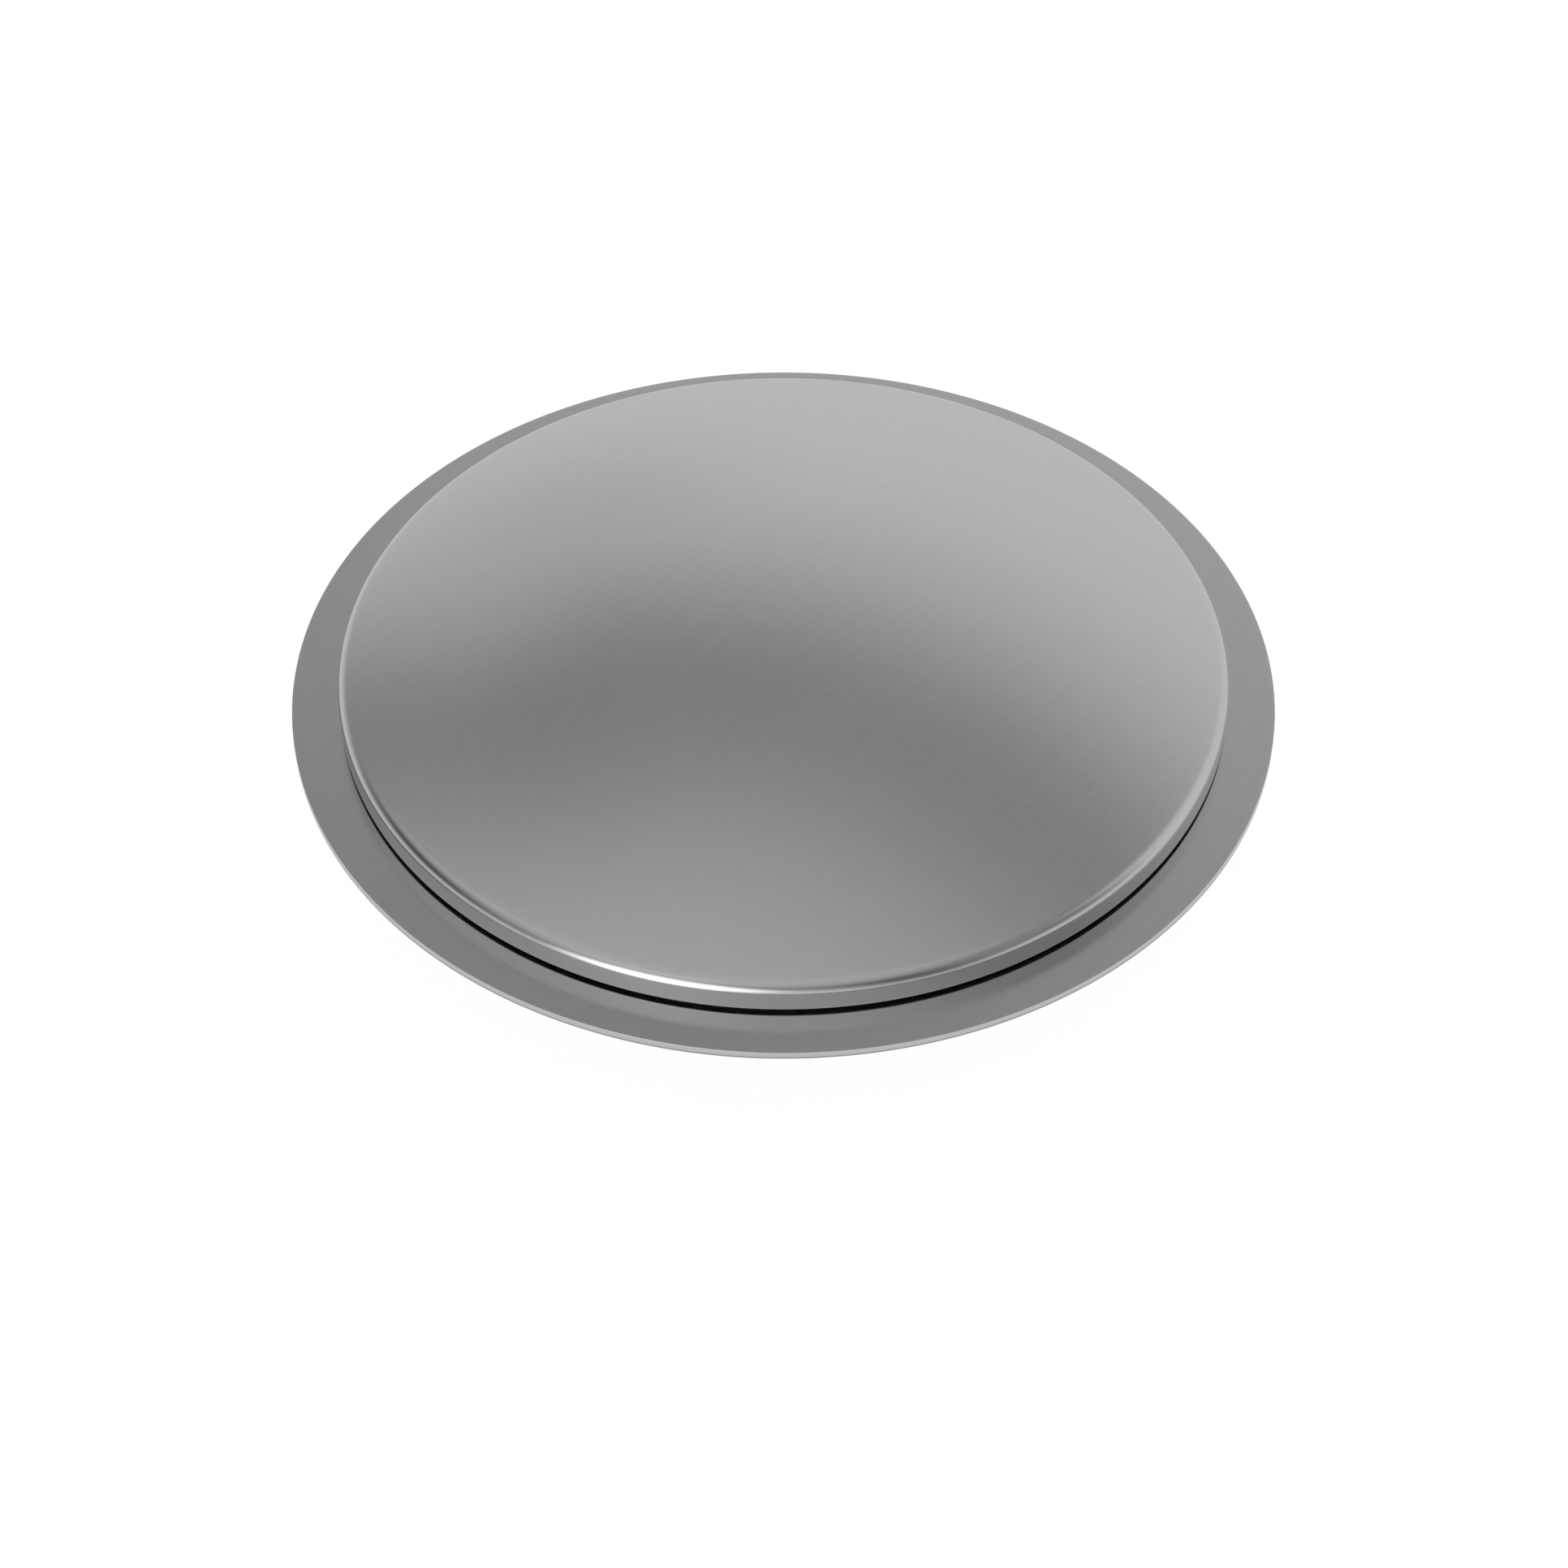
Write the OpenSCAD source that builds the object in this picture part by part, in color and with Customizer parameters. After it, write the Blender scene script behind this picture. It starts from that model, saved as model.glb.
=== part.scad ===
// Round lift-off manhole cover in stainless steel.
// A dished lid stands on a seal on the upstand of a flanged neck, and its turned-down rim
// overlaps the upstand, so that rain runs off outside the opening.
// Origin: on the neck's axis, level with the underside of the flange. +Z points up, out of the manhole.

/* [Neck] */
// Diameter of the clear opening through the neck
clear_opening = 600; // [450:10:800]
// Wall of the spigot below the flange
spigot_wall = 4; // [3:0.5:6]
// Depth of the spigot below the underside of the flange
spigot_depth = 60; // [40:5:120]
// Wall of the upstand above the flange
upstand_wall = 3; // [2:0.5:5]
// Thickness of the land, the flat ring on top of the upstand
land_t = 4; // [3:0.5:6]
// How far the land stands out past the upstand
land_overhang = 11; // [10:0.5:15]

/* [Flange] */
// Thickness of the flange plate
flange_t = 6; // [4:0.5:10]
// Width of flange that shows outside the lid
flange_margin = 35; // [30:1:80]
// Diameter of the weld studs
stud_d = 10; // [6:1:16]
// Length of the weld studs below the flange
stud_length = 25; // [15:1:40]
// Distance from the edge of the flange to the circle of studs
stud_inset = 28; // [15:1:30]
// Number of studs round the flange
stud_count = 12; // [6:1:24]
// Chamfer on the end of a stud
stud_chamfer = 1.2; // [0.5:0.1:1.5]

/* [Lid] */
// Thickness of the lid's sheet
lid_sheet = 3; // [2:0.5:4]
// Height of the straight part of the rim
rim_h = 13.5; // [12:0.5:30]
// Gap between the lower edge of the rim and the flange
rim_gap = 3.3; // [2:0.1:8]
// Clearance between the inside of the rim and the edge of the land
rim_clearance = 8; // [6:0.5:14]
// Outside radius of the rolled shoulder between rim and crown
shoulder_r = 10; // [8:0.5:13]
// Outside radius of the dished crown
crown_r = 1170; // [900:10:2500]

/* [Seal] */
// Width of the seal
seal_w = 11; // [8:0.5:12]
// Height of the seal
seal_h = 6; // [4:0.5:7]
// Height of seal that stands out of its channel
seal_proud = 2; // [1:0.5:2.5]
// Running clearance between the seal and the steel round it
seal_clearance = 0.35; // [0.3:0.05:0.6]
// Sheet of the channel that holds the seal
channel_sheet = 2; // [1.5:0.5:2.5]

/* [Stiffeners] */
// Thickness of a rib
rib_t = 5; // [3:0.5:8]
// Depth of a rib where it meets the hub
rib_depth_hub = 30; // [20:1:40]
// How far the outer end of a rib laps down the wall of the seal's channel
rib_lap = 2; // [1:0.5:4]
// Outside diameter of the hub tube
hub_d = 60; // [40:2:90]
// Wall of the hub tube
hub_wall = 5; // [3:0.5:8]

/* [Guide tabs] */
// Thickness of a guide tab
tab_t = 4; // [3:0.5:5]
// Width of a guide tab
tab_w = 36; // [20:2:60]
// Radial play between a guide tab and the bore of the neck
tab_clearance = 0.85; // [0.5:0.05:1.5]
// Depth that a guide tab reaches below the top of the land
tab_reach = 30; // [20:1:45]
// Height of the bent lead-in at the foot of a guide tab
lead_in_h = 9; // [5:0.5:14]
// How far the lead-in bends inwards
lead_in = 4; // [2:0.5:6]

/* [Hidden] */
$fn = 180;
rib_count = 6;
tab_count = 6;
cut = 1;
shoulder_steps = 12;
crown_steps = 32;

// Radii, from the opening outwards
bore_r = clear_opening / 2;
spigot_r = bore_r + spigot_wall;
upstand_r = bore_r + upstand_wall;
land_r = upstand_r + land_overhang;
rim_in_r = land_r + rim_clearance;
lid_r = rim_in_r + lid_sheet;
flange_r = lid_r + flange_margin;
stud_circle_r = flange_r - stud_inset;

// The rolled shoulder runs tangent from the rim into the crown
rim_low_z = flange_t + rim_gap;
shoulder_z = rim_low_z + rim_h;
shoulder_c = lid_r - shoulder_r;
crown_c = crown_r - shoulder_r;
crown_z = shoulder_z - sqrt(pow(crown_c, 2) - pow(shoulder_c, 2));
tangent_a = acos(shoulder_c / crown_c);
tangent_in_r = shoulder_c + (shoulder_r - lid_sheet) * cos(tangent_a);
last_shoulder_a = tangent_a * (1 - 1 / shoulder_steps);

// Height of the underside of the lid at radius r
function crown_under(r) = crown_z + sqrt(pow(crown_r - lid_sheet, 2) - pow(r, 2));
function shoulder_under(r) = shoulder_z + sqrt(pow(shoulder_r - lid_sheet, 2) - pow(r - shoulder_c, 2));
function lid_under(r) = r <= tangent_in_r ? crown_under(r) : shoulder_under(r);

// The guide tabs are welded inside the channel, so their play in the bore sets where it hangs.
// The seal runs in the channel, and the land is set under the seal.
channel_in_r = bore_r - tab_clearance;
slot_in_r = channel_in_r + channel_sheet;
seal_in_r = slot_in_r + seal_clearance;
seal_out_r = seal_in_r + seal_w;
slot_out_r = seal_out_r + seal_clearance;
channel_out_r = slot_out_r + channel_sheet;
channel_top_z = lid_under(channel_out_r);
seal_top_z = channel_top_z - channel_sheet - seal_clearance;
seal_low_z = seal_top_z - seal_h;
channel_low_z = seal_low_z + seal_proud;
land_top_z = seal_low_z - seal_clearance;
land_low_z = land_top_z - land_t;

// Ribs and hub
hub_r = hub_d / 2;
rib_low_hub_z = lid_under(hub_r) - rib_depth_hub;
rib_low_end_z = channel_top_z - rib_lap;

// Guide tabs
tab_r = channel_in_r;
tab_low_z = land_top_z - tab_reach;

module ring(r_in, r_out, z_low, z_high) {
    translate([0, 0, z_low])
        difference() {
            cylinder(r = r_out, h = z_high - z_low);
            translate([0, 0, -cut])
                cylinder(r = r_in, h = z_high - z_low + 2 * cut);
        }
}

// Points on an arc about [c_r, c_z], from angle a_0 to angle a_1 in n steps
function arc(c_r, c_z, r, a_0, a_1, n) =
    [for (k = [0:n]) let (a = a_0 + (a_1 - a_0) * k / n) [c_r + r * cos(a), c_z + r * sin(a)]];

// The lid's outline from the edge of the rim to the top of the crown, offset inwards by inset
function lid_line(inset) = concat(
    [[lid_r - inset, rim_low_z]],
    arc(shoulder_c, shoulder_z, shoulder_r - inset, 0, last_shoulder_a, shoulder_steps - 1),
    arc(0, crown_z, crown_r - inset, tangent_a, 90, crown_steps)
);

// Spreads a child made along +X evenly round the axis, half_step turning it by half a spacing
module place(i, count, half_step = 0) {
    rotate([0, 0, (i - 1 + half_step) * 360 / count])
        children();
}

module flange_plate() {
    color("darkgray")
        ring(bore_r, flange_r, 0, flange_t);
}

module spigot_ring() {
    color("gray")
        ring(bore_r, spigot_r, -spigot_depth, 0);
}

module upstand_ring() {
    color("gray")
        ring(bore_r, upstand_r, flange_t, land_low_z);
}

module land_ring() {
    color("silver")
        ring(bore_r, land_r, land_low_z, land_top_z);
}

module weld_stud() {
    stud_r = stud_d / 2;
    rotate_extrude()
        polygon([
            [0, 0],
            [stud_r, 0],
            [stud_r, stud_chamfer - stud_length],
            [stud_r - stud_chamfer, -stud_length],
            [0, -stud_length]
        ]);
}

module weld_studs() {
    color("silver")
        for (i = [1:stud_count])
            place(i, stud_count, 0.5)
                translate([stud_circle_r, 0, 0])
                    weld_stud();
}

module lid_seal() {
    color("dimgray")
        ring(seal_in_r, seal_out_r, seal_low_z, seal_top_z);
}

module lid_shell() {
    color("lightgray")
        rotate_extrude()
            difference() {
                polygon(concat(lid_line(0), [[0, rim_low_z]]));
                polygon(concat(lid_line(lid_sheet), [[0, rim_low_z - cut], [rim_in_r, rim_low_z - cut]]));
            }
}

module seal_channel() {
    color("silver")
        difference() {
            ring(channel_in_r, channel_out_r, channel_low_z, channel_top_z);
            ring(slot_in_r, slot_out_r, channel_low_z - cut, channel_top_z - channel_sheet);
        }
}

// A plate on edge whose top follows the underside of the lid, from radius r_in to radius r_out
module under_lid_section(r_in, r_out, z_in, z_out) {
    intersection() {
        polygon(concat(lid_line(lid_sheet), [[0, rim_low_z]]));
        polygon([[r_in, z_in], [r_out, z_out], [r_out, crown_r], [r_in, crown_r]]);
    }
}

module hub_tube() {
    color("silver")
        rotate_extrude()
            under_lid_section(hub_r - hub_wall, hub_r, rib_low_hub_z, rib_low_hub_z);
}

module rib(i) {
    color("silver")
        place(i, rib_count)
            intersection() {
                rotate_extrude()
                    under_lid_section(hub_r, channel_in_r, rib_low_hub_z, rib_low_end_z);
                translate([0, -rib_t / 2, 0])
                    cube([flange_r, rib_t, crown_r]);
            }
}

module guide_tab(i) {
    color("silver")
        place(i, tab_count, 0.5)
            intersection() {
                rotate_extrude()
                    polygon([
                        [tab_r - tab_t, channel_top_z],
                        [tab_r, channel_top_z],
                        [tab_r, tab_low_z + lead_in_h],
                        [tab_r - lead_in, tab_low_z],
                        [tab_r - lead_in - tab_t, tab_low_z],
                        [tab_r - tab_t, tab_low_z + lead_in_h]
                    ]);
                translate([0, -tab_w / 2, tab_low_z - cut])
                    cube([flange_r, tab_w, channel_top_z - tab_low_z + 2 * cut]);
            }
}

flange_plate();
spigot_ring();
upstand_ring();
land_ring();
weld_studs();
lid_seal();
lid_shell();
seal_channel();
hub_tube();
for (i = [1:rib_count])
    rib(i);
for (i = [1:tab_count])
    guide_tab(i);
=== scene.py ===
import math

import bpy
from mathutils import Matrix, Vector


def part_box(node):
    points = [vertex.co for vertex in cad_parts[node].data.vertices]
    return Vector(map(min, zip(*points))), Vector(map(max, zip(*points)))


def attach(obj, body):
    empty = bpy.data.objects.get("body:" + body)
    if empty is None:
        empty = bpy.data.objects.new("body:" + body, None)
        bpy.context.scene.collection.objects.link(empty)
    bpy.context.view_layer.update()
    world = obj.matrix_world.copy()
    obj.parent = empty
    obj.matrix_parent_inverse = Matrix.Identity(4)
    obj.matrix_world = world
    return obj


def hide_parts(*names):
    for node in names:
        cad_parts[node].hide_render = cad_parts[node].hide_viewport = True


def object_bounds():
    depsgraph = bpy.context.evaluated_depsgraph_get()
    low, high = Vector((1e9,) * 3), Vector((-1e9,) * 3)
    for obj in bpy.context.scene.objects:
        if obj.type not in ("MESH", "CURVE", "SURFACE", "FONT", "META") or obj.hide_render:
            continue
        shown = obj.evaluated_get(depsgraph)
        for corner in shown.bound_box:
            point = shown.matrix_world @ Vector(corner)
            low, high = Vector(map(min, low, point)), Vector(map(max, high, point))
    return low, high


# Looks of a round lift-off manhole cover: a dished stainless lid on a sealed, flanged neck.
# Everything is in metres about the neck's axis, with the underside of the flange at height 0.
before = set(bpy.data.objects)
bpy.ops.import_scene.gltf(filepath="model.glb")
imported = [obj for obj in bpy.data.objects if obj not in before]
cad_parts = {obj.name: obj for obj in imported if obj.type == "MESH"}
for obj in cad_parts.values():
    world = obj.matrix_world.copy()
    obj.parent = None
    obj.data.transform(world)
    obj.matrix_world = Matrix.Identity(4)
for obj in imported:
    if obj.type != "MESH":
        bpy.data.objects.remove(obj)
cad_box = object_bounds()


# ---- Camera ----
# A long lens in front of the cover, high enough to look down on the lid and across its rolled shoulder.
camera_data = bpy.data.cameras.new("camera")
camera_data.lens = 75.96
camera_data.sensor_width = 36
camera_data.clip_end = 60
camera = bpy.data.objects.new("camera", camera_data)
camera.location = (0.0004, -1.7682, 1.6838)
camera.rotation_euler = (math.radians(44.656), 0, 0)
bpy.context.scene.collection.objects.link(camera)
bpy.context.scene.camera = camera
bpy.context.scene.view_settings.view_transform = "Standard"


# ---- Studio ----
# A white room with a wide overhead panel tilted towards the front left, and a darker band where it ends.
# Dark flags and one pale card stand round it, and a round softbox low at the front left spills light on the
# wall above. The floor is white paper that lights the cover, but isn't mirrored in it.
def wire(tree, value, socket):
    """Links a value to a socket, or sets the socket to it when it is a plain number, colour or vector."""
    if isinstance(value, bpy.types.NodeSocket):
        tree.links.new(value, socket)
    else:
        socket.default_value = value


def calc(tree, operation, *values, clamp=False):
    """One sum on numbers, such as MULTIPLY or COSINE, as the socket that holds its answer."""
    node = tree.nodes.new("ShaderNodeMath")
    node.operation = operation
    node.use_clamp = clamp
    for value, socket in zip(values, node.inputs):
        wire(tree, value, socket)
    return node.outputs[0]


def vector_calc(tree, operation, *values, output="Vector"):
    """One sum on vectors, such as MULTIPLY or DOT_PRODUCT."""
    node = tree.nodes.new("ShaderNodeVectorMath")
    node.operation = operation
    for value, socket in zip(values, node.inputs):
        wire(tree, value, socket)
    return node.outputs[output]


def ranged(tree, value, from_low, from_high, to_low=0.0, to_high=1.0, smooth=True):
    """A value moved from one range to another, held at its ends."""
    node = tree.nodes.new("ShaderNodeMapRange")
    node.interpolation_type = "SMOOTHSTEP" if smooth else "LINEAR"
    node.clamp = True
    for given, socket in zip((value, from_low, from_high, to_low, to_high), node.inputs):
        wire(tree, given, socket)
    return node.outputs["Result"]


def graded(tree, value, stops, interpolation="LINEAR"):
    """A colour ramp through (position, colour) stops."""
    node = tree.nodes.new("ShaderNodeValToRGB")
    ramp = node.color_ramp
    ramp.interpolation = interpolation
    while len(ramp.elements) < len(stops):
        ramp.elements.new(1.0)
    for element, (position, colour) in zip(ramp.elements, stops):
        element.position = position
        element.color = (*colour, 1.0)
    wire(tree, value, node.inputs["Fac"])
    return node.outputs["Color"]


def heading(azimuth, height):
    """The direction at an azimuth from +Y towards +X and a height above the horizon, in degrees."""
    azimuth, height = math.radians(azimuth), math.radians(height)
    return (math.sin(azimuth) * math.cos(height), math.cos(azimuth) * math.cos(height), math.sin(height))


def grey(level):
    """A colour without a hue."""
    return (level, level, level)


PANEL_CENTRE = heading(-136.6, 63.5)
PANEL_BRIGHTNESS = [  # degrees from the panel's centre, brightness
    (0, 0.53), (30, 0.492), (38, 0.450), (46, 0.378), (52, 0.314), (58, 0.275), (64, 0.306),
    (70, 0.417), (76, 0.521), (82, 0.590), (90, 0.645), (100, 0.660),
]
FLAGS = [  # direction, how far it reaches in degrees, how much light it takes away or, below 0, gives
    (heading(-92, 18), 40, 0.21),
    (heading(147, 0), 34, 0.46),
    (heading(113, 12), 30, 0.42),
    (heading(-12, 22), 14, 0.06),
    (heading(-32, 57), 16, 0.05),
    (heading(-26, 37), 11, -0.07),
]
SOFTBOX = heading(-154, -4)
SOFTBOX_REACH = 30
SOFTBOX_FADE = 17
SOFTBOX_BRIGHTNESS = 1.3
SPILL = heading(-150, 38)
SPILL_REACH = 25
SPILL_BRIGHTNESS = 0.14

world = bpy.data.worlds.new("studio")
bpy.context.scene.world = world
world.use_nodes = True
room = world.node_tree
room.nodes.clear()
direction = room.nodes.new("ShaderNodeTexCoord").outputs["Generated"]


def degrees_from(centre):
    """How far a direction in the room is from a centre, in degrees."""
    aligned = vector_calc(room, "DOT_PRODUCT", direction, centre, output="Value")
    return calc(room, "DEGREES", calc(room, "ARCCOSINE", aligned))


HALF_TURN = 180
panel_stops = [(angle / HALF_TURN, grey(level)) for angle, level in PANEL_BRIGHTNESS]
from_panel = calc(room, "DIVIDE", degrees_from(PANEL_CENTRE), HALF_TURN)
light = graded(room, from_panel, panel_stops, "CARDINAL")
for centre, reach, taken in FLAGS:
    light = calc(room, "SUBTRACT", light, ranged(room, degrees_from(centre), 0, reach, taken, 0))
softbox = ranged(
    room, degrees_from(SOFTBOX), SOFTBOX_REACH, SOFTBOX_REACH - SOFTBOX_FADE, 0, SOFTBOX_BRIGHTNESS
)
spill = ranged(room, degrees_from(SPILL), SPILL_REACH, 0, 0, SPILL_BRIGHTNESS)
light = calc(room, "ADD", light, calc(room, "ADD", softbox, spill))
white_wall = 1.0
seen = room.nodes.new("ShaderNodeLightPath").outputs["Is Camera Ray"]
background = room.nodes.new("ShaderNodeBackground")
background.inputs["Color"].default_value = (1, 1, 1, 1)
wire(room, ranged(room, seen, 0, 1, light, white_wall), background.inputs["Strength"])
room_out = room.nodes.new("ShaderNodeOutputWorld")
wire(room, background.outputs["Background"], room_out.inputs["Surface"])

paper_tone = 0.10
paper_glow = 0.60
paper_glow_seen = 0.965
floor_material = bpy.data.materials.new("white paper")
floor_material.use_nodes = True
sheet = floor_material.node_tree
paper = sheet.nodes["Principled BSDF"]
paper.inputs["Base Color"].default_value = (*grey(paper_tone), 1)
paper.inputs["Roughness"].default_value = 0.9
paper.inputs["Specular IOR Level"].default_value = 0.0
paper.inputs["Emission Color"].default_value = (1, 1, 1, 1)
ray = sheet.nodes.new("ShaderNodeLightPath").outputs
glow = ranged(sheet, ray["Is Camera Ray"], 0, 1, paper_glow, paper_glow_seen)
wire(sheet, glow, paper.inputs["Emission Strength"])
from_below = sheet.nodes.new("ShaderNodeNewGeometry").outputs["Backfacing"]
clear = sheet.nodes.new("ShaderNodeBsdfTransparent")
cleared = sheet.nodes.new("ShaderNodeMixShader")
wire(sheet, calc(sheet, "MAXIMUM", from_below, ray["Is Glossy Ray"]), cleared.inputs["Fac"])
wire(sheet, paper.outputs["BSDF"], cleared.inputs[1])
wire(sheet, clear.outputs["BSDF"], cleared.inputs[2])
wire(sheet, cleared.outputs["Shader"], sheet.nodes["Material Output"].inputs["Surface"])

floor_half = 0.95
floor_gap = 0.0005
floor_z = cad_box[0].z - floor_gap
floor_corners = [(x * floor_half, y * floor_half) for x, y in ((-1, -1), (1, -1), (1, 1), (-1, 1))]
floor_mesh = bpy.data.meshes.new("floor")
floor_mesh.from_pydata([(x, y, floor_z) for x, y in floor_corners], [], [(0, 1, 2, 3)])
floor_mesh.materials.append(floor_material)
floor = bpy.data.objects.new("floor", floor_mesh)
bpy.context.scene.collection.objects.link(floor)


# ---- Lid ----
# One disc of 3 mm stainless sheet, spun over a former into a shallow dish with a rolled shoulder and a
# short straight rim, then satin brushed in one direction. Its cut edge is deburred all round.
def add_group(name, kind, inputs, outputs):
    """An empty node group with named inputs and outputs, given as (name, socket type, default)."""
    group = bpy.data.node_groups.new(name, kind)
    for label, socket, default in inputs:
        made = group.interface.new_socket(label, in_out="INPUT", socket_type=socket)
        if default is not None:
            made.default_value = default
    for label, socket in outputs:
        group.interface.new_socket(label, in_out="OUTPUT", socket_type=socket)
    return group, group.nodes.new("NodeGroupInput").outputs, group.nodes.new("NodeGroupOutput").inputs


def around(tree, radius, angle, height=0.0):
    """The point at a radius and an angle round the Z axis, and at a height."""
    point = tree.nodes.new("ShaderNodeCombineXYZ")
    wire(tree, calc(tree, "MULTIPLY", radius, calc(tree, "COSINE", angle)), point.inputs["X"])
    wire(tree, calc(tree, "MULTIPLY", radius, calc(tree, "SINE", angle)), point.inputs["Y"])
    wire(tree, height, point.inputs["Z"])
    return point.outputs["Vector"]


def make_spin_tree():
    """Turns a line of points in the XZ plane once round the Z axis, as sheet is spun on a lathe."""
    tree, given, result = add_group(
        "spin", "GeometryNodeTree",
        [
            ("Outline", "NodeSocketGeometry", None),
            ("Steps", "NodeSocketInt", 288),
            ("Finish", "NodeSocketMaterial", None),
        ],
        [("Geometry", "NodeSocketGeometry")],
    )
    size = tree.nodes.new("GeometryNodeAttributeDomainSize")
    wire(tree, given["Outline"], size.inputs["Geometry"])
    points = size.outputs["Point Count"]
    grid = tree.nodes.new("GeometryNodeMeshGrid")
    wire(tree, calc(tree, "ADD", given["Steps"], 1), grid.inputs["Vertices X"])
    wire(tree, points, grid.inputs["Vertices Y"])
    index = tree.nodes.new("GeometryNodeInputIndex").outputs["Index"]
    step = calc(tree, "FLOOR", calc(tree, "DIVIDE", calc(tree, "ADD", index, 0.5), points))
    place = calc(tree, "SUBTRACT", index, calc(tree, "MULTIPLY", step, points))
    sample = tree.nodes.new("GeometryNodeSampleIndex")
    sample.data_type = "FLOAT_VECTOR"
    wire(tree, given["Outline"], sample.inputs["Geometry"])
    wire(tree, tree.nodes.new("GeometryNodeInputPosition").outputs["Position"], sample.inputs["Value"])
    wire(tree, place, sample.inputs["Index"])
    apart = tree.nodes.new("ShaderNodeSeparateXYZ")
    wire(tree, sample.outputs["Value"], apart.inputs["Vector"])
    angle = calc(tree, "DIVIDE", calc(tree, "MULTIPLY", step, math.tau), given["Steps"])
    skin = closed_skin(tree, grid, around(tree, apart.outputs["X"], angle, apart.outputs["Z"]))
    finish_tree(tree, skin, given["Finish"], result["Geometry"], smooth=True)
    return tree


def closed_skin(tree, grid, position):
    """A grid with its points put in position, and its seam and poles closed."""
    joint = 0.00001
    placed = tree.nodes.new("GeometryNodeSetPosition")
    wire(tree, grid.outputs["Mesh"], placed.inputs["Geometry"])
    wire(tree, position, placed.inputs["Position"])
    closed = tree.nodes.new("GeometryNodeMergeByDistance")
    wire(tree, placed.outputs["Geometry"], closed.inputs["Geometry"])
    wire(tree, joint, closed.inputs["Distance"])
    return closed.outputs["Geometry"]


def finish_tree(tree, geometry, material, result, smooth):
    """Ends a Geometry Nodes tree: real geometry, its shading and its material."""
    real = tree.nodes.new("GeometryNodeRealizeInstances")
    wire(tree, geometry, real.inputs["Geometry"])
    geometry = real.outputs["Geometry"]
    if smooth:
        shaded = tree.nodes.new("GeometryNodeSetShadeSmooth")
        wire(tree, geometry, shaded.inputs["Geometry"])
        geometry = shaded.outputs["Geometry"]
    coated = tree.nodes.new("GeometryNodeSetMaterial")
    wire(tree, geometry, coated.inputs["Geometry"])
    wire(tree, material, coated.inputs["Material"])
    wire(tree, coated.outputs["Geometry"], result)


def add_tree(work, tree, values):
    """Puts a Geometry Nodes tree on a piece, with the named inputs set."""
    modifier = work.modifiers.new(tree.name, "NODES")
    modifier.node_group = tree
    for item in tree.interface.items_tree:
        if item.in_out == "INPUT" and item.name in values:
            modifier[item.identifier] = values[item.name]


def start_piece(name, points, edges, faces=()):
    """A new object at the origin, made of the given points."""
    mesh = bpy.data.meshes.new(name)
    mesh.from_pydata([tuple(p) for p in points], edges, faces)
    work = bpy.data.objects.new(name, mesh)
    bpy.context.scene.collection.objects.link(work)
    return work


def settle(work, body, nodes=()):
    """Turns a piece's modifiers into a plain mesh with its one material, and fixes the piece to its body."""
    bpy.context.view_layer.update()
    depsgraph = bpy.context.evaluated_depsgraph_get()
    made = bpy.data.meshes.new_from_object(work.evaluated_get(depsgraph), depsgraph=depsgraph)
    made.name = work.name
    material = made.materials[-1]  # an empty slot comes before it
    made.materials.clear()
    made.materials.append(material)
    made.polygons.foreach_set("material_index", [0] * len(made.polygons))
    work.modifiers.clear()
    work.data = made
    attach(work, body)
    if nodes:
        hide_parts(*nodes)
    return work


spin_tree = make_spin_tree()


def spin(name, outline, material, steps=288):
    """A ring or dish from its (radius, height) outline, run with the metal on its left."""
    points = [(r, 0, z) for r, z in outline]
    work = start_piece(name, points, [(i, i + 1) for i in range(len(points) - 1)])
    add_tree(work, spin_tree, {"Steps": steps, "Finish": material})
    return work


def evenly(start, end, steps):
    """Evenly spaced values from start to end, with both of them."""
    return [start + (end - start) * k / steps for k in range(steps + 1)]


def arc(centre, radius, start, end, steps):
    """Points of an arc in an outline, from angle start to angle end in radians."""
    middle = Vector(centre)
    return [middle + radius * Vector((math.cos(a), math.sin(a))) for a in evenly(start, end, steps)]


def rolled_corner(before, corner, after, radius, steps=3):
    """A corner turned over by a small radius, with a point past each end to keep the flats flat."""
    corner = Vector(corner)
    back = (Vector(before) - corner).normalized()
    on = (Vector(after) - corner).normalized()
    half = back.angle(on) / 2
    reach = radius / math.tan(half)
    centre = corner + (back + on).normalized() * (radius / math.sin(half))
    start = (corner + back * reach - centre).normalized()
    end = (corner + on * reach - centre).normalized()
    turn = [centre + start.slerp(end, k / steps) * radius for k in range(steps + 1)]
    return [corner + back * (reach + radius), *turn, corner + on * (reach + radius)]


def cloud(tree, where, scale, detail=2.0):
    """Soft noise about 0.5, with features about 1 / scale across."""
    noise = tree.nodes.new("ShaderNodeTexNoise")
    wire(tree, where, noise.inputs["Vector"])
    wire(tree, scale, noise.inputs["Scale"])
    wire(tree, detail, noise.inputs["Detail"])
    return noise.outputs[0]


def turned(tree, where, angle):
    """Coordinates turned about the Z axis."""
    node = tree.nodes.new("ShaderNodeVectorRotate")
    node.rotation_type = "Z_AXIS"
    wire(tree, where, node.inputs["Vector"])
    wire(tree, angle, node.inputs["Angle"])
    return node.outputs[0]


def height_of(tree, where):
    """Height above the underside of the flange."""
    apart = tree.nodes.new("ShaderNodeSeparateXYZ")
    wire(tree, where, apart.inputs["Vector"])
    return apart.outputs["Z"]


def radius_of(tree, where):
    """Distance from the Z axis."""
    return vector_calc(tree, "LENGTH", vector_calc(tree, "MULTIPLY", where, (1, 1, 0)), output="Value")


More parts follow.
